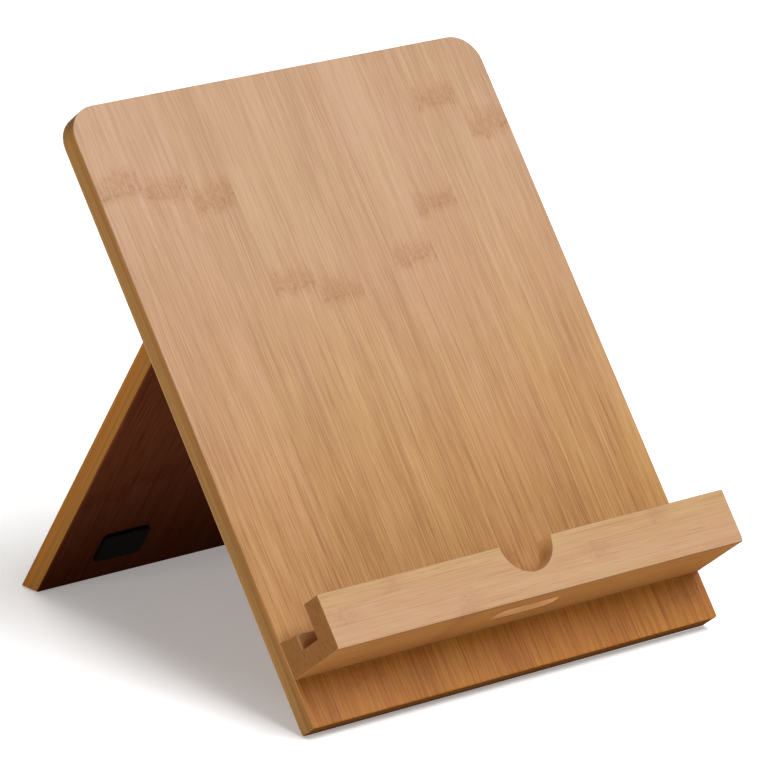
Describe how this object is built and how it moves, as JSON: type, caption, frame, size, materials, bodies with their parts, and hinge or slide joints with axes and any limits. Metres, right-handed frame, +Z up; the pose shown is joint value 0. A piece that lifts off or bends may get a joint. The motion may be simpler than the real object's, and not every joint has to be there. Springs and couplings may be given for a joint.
{
  "type": "folding phone and tablet stand",
  "caption": "Folding bamboo desk stand: tilted back board with a channel ledge, cable notch and slot, propped by a hinged rear leg.",
  "frame": {"origin": "on the table, under the middle of the open stand's bounding box", "axes": "+X to the right seen from the front, +Y to the back where the leg stands, +Z up; the board faces -Y and leans back"},
  "size_m": [0.195, 0.2222, 0.2058],
  "materials": {
    "board_bamboo": "satin clear lacquer over caramelised edge-grain bamboo, grain up the board",
    "ledge_bamboo": "satin clear lacquer over light bamboo, grain along the ledge",
    "leg_bamboo": "satin clear lacquer over caramelised bamboo, grain along the leg",
    "hinge_brass": "pressed sheet, satin",
    "screw_brass": "brass plated, satin",
    "screw_steel": "zinc plated",
    "pad_rubber": "matt black"
  },
  "bodies": {
    "board": {"main_board": "board_bamboo", "ledge_base": "ledge_bamboo", "ledge_lip": "ledge_bamboo", "ledge_back_rail": "ledge_bamboo", "ledge_screw_1": "screw_steel", "ledge_screw_2": "screw_steel", "ledge_screw_3": "screw_steel", "ledge_screw_4": "screw_steel", "hinge_left_board_leaf": "hinge_brass", "hinge_left_pin": "hinge_brass", "hinge_right_board_leaf": "hinge_brass", "hinge_right_pin": "hinge_brass", "board_leaf_screw_left_a": "screw_brass", "board_leaf_screw_left_b": "screw_brass", "board_leaf_screw_right_a": "screw_brass", "board_leaf_screw_right_b": "screw_brass"},
    "leg": {"support_leg": "leg_bamboo", "leg_pad_left": "pad_rubber", "leg_pad_right": "pad_rubber", "hinge_left_leg_leaf": "hinge_brass", "hinge_right_leg_leaf": "hinge_brass", "leg_leaf_screw_left_a": "screw_brass", "leg_leaf_screw_left_b": "screw_brass", "leg_leaf_screw_right_a": "screw_brass", "leg_leaf_screw_right_b": "screw_brass"}
  },
  "joints": [
    {"name": "leg_fold", "type": "hinge", "parent": "board", "child": "leg", "pos_m": [0, 0.00851, 0.13029], "axis": [-1, 0, 0], "range_deg": [0, 71.4]}
  ]
}
